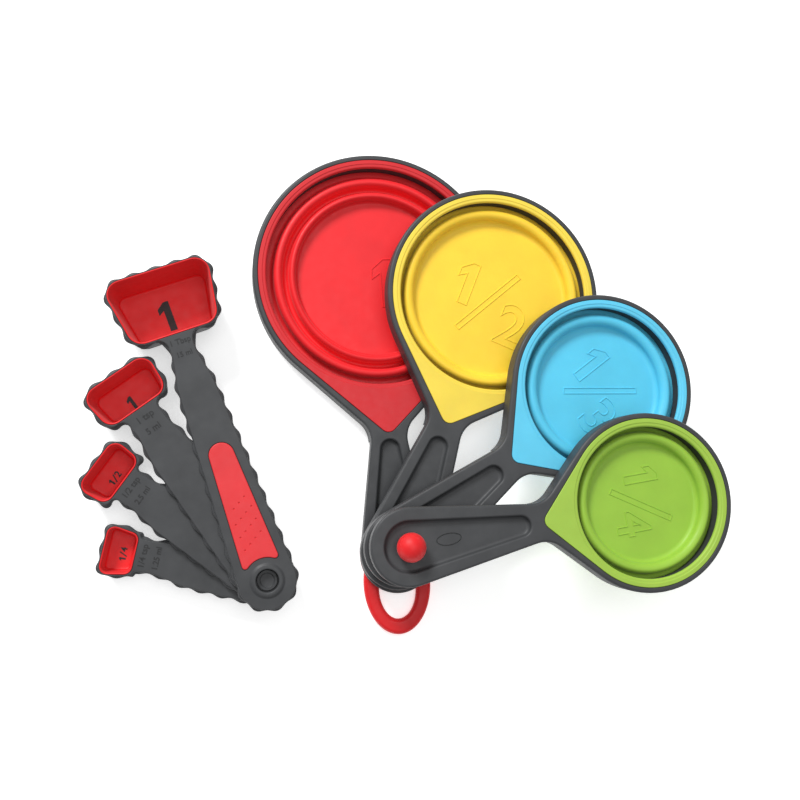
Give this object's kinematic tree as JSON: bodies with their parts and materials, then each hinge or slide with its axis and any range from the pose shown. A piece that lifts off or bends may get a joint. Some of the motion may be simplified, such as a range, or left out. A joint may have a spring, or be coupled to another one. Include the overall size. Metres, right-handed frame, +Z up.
{
  "type": "measuring cup set",
  "caption": "Collapsible measuring cups fanned on a hanging loop, with a fan of snap-together measuring spoons.",
  "frame": {"origin": "under the middle of the whole set, on the surface that it lies on", "axes": "+X from the spoons towards the cups, +Y from the handles' pivots towards the largest cup's bowl, +Z up out of the bowls"},
  "size_m": [0.2652, 0.2069, 0.0452],
  "materials": {
    "grey_plastic": "fine satin grain, soft to the touch",
    "cup_1_silicone": "red silicone, satin",
    "cup_1_2_silicone": "yellow silicone, satin",
    "cup_1_3_silicone": "sky blue silicone, satin",
    "cup_1_4_silicone": "lime green silicone, satin",
    "loop_silicone": "red silicone, satin",
    "spoon_silicone": "red silicone, satin"
  },
  "bodies": {
    "bowl_floor": {"cup_1_bowl_floor": "cup_1_silicone"},
    "fold_inner": {"cup_1_bowl_fold_3": "cup_1_silicone"},
    "fold_middle": {"cup_1_bowl_fold_2": "cup_1_silicone"},
    "fold_outer": {"cup_1_bowl_fold_1": "cup_1_silicone"},
    "cup_1": {"cup_1_frame": "grey_plastic", "cup_1_collar": "cup_1_silicone", "cup_1_bowl_flange": "cup_1_silicone"},
    "cup_1_2": {"cup_1_2_frame": "grey_plastic", "cup_1_2_collar": "cup_1_2_silicone", "cup_1_2_bowl": "cup_1_2_silicone"},
    "cup_1_3": {"cup_1_3_frame": "grey_plastic", "cup_1_3_collar": "cup_1_3_silicone", "cup_1_3_bowl": "cup_1_3_silicone"},
    "cup_1_4": {"cup_1_4_frame": "grey_plastic", "cup_1_4_collar": "cup_1_4_silicone", "cup_1_4_bowl": "cup_1_4_silicone"},
    "loop": {"hanging_loop": "loop_silicone"},
    "tablespoon": {"tablespoon_body": "grey_plastic", "tablespoon_liner": "spoon_silicone", "tablespoon_grip_pad": "spoon_silicone"},
    "teaspoon": {"teaspoon_body": "grey_plastic", "teaspoon_liner": "spoon_silicone"},
    "half_teaspoon": {"half_teaspoon_body": "grey_plastic", "half_teaspoon_liner": "spoon_silicone"},
    "quarter_teaspoon": {"quarter_teaspoon_body": "grey_plastic", "quarter_teaspoon_liner": "spoon_silicone"}
  },
  "joints": [
    {"name": "bowl_opens", "type": "slide", "parent": "bowl_floor", "child": "fold_inner", "axis": [0, 0, 1], "range_m": [0, 0.01]},
    {"name": "bowl_opens_2", "type": "slide", "parent": "fold_inner", "child": "fold_middle", "axis": [0, 0, 1], "range_m": [0, 0.01]},
    {"name": "bowl_opens_3", "type": "slide", "parent": "fold_middle", "child": "fold_outer", "axis": [0, 0, 1], "range_m": [0, 0.01]},
    {"name": "bowl_opens_4", "type": "slide", "parent": "fold_outer", "child": "cup_1", "axis": [0, 0, 1], "range_m": [0, 0.01]},
    {"name": "cup_1_2_swing", "type": "hinge", "parent": "cup_1", "child": "cup_1_2", "pos_m": [-0.0045, -0.0652, 0], "axis": [0, 0, 1], "range_deg": [-154.5, 25.5]},
    {"name": "cup_1_3_swing", "type": "hinge", "parent": "cup_1", "child": "cup_1_3", "pos_m": [-0.0045, -0.0652, 0], "axis": [0, 0, 1], "range_deg": [-123, 57]},
    {"name": "cup_1_4_swing", "type": "hinge", "parent": "cup_1", "child": "cup_1_4", "pos_m": [-0.0045, -0.0652, 0], "axis": [0, 0, 1], "range_deg": [-95.4, 84.6]},
    {"name": "loop_swivel", "type": "hinge", "parent": "cup_1", "child": "loop", "pos_m": [-0.0045, -0.0652, 0], "axis": [0, 0, 1], "continuous": true},
    {"name": "spoon_set_lift", "type": "slide", "parent": "bowl_floor", "child": "tablespoon", "axis": [0, 0, 1], "range_m": [0, 0.05]},
    {"name": "teaspoon_swing", "type": "hinge", "parent": "tablespoon", "child": "teaspoon", "pos_m": [-0.0589, -0.0779, 0], "axis": [0, 0, 1], "range_deg": [-16.5, 133.5]},
    {"name": "half_teaspoon_swing", "type": "hinge", "parent": "tablespoon", "child": "half_teaspoon", "pos_m": [-0.0589, -0.0779, 0], "axis": [0, 0, 1], "range_deg": [-34.9, 115.1]},
    {"name": "quarter_teaspoon_swing", "type": "hinge", "parent": "tablespoon", "child": "quarter_teaspoon", "pos_m": [-0.0589, -0.0779, 0], "axis": [0, 0, 1], "range_deg": [-58.1, 91.9]}
  ],
  "couplings": [
    {"joint": "bowl_opens_2", "follows": "bowl_opens", "ratio": 1},
    {"joint": "bowl_opens_3", "follows": "bowl_opens", "ratio": 1},
    {"joint": "bowl_opens_4", "follows": "bowl_opens", "ratio": 1}
  ]
}
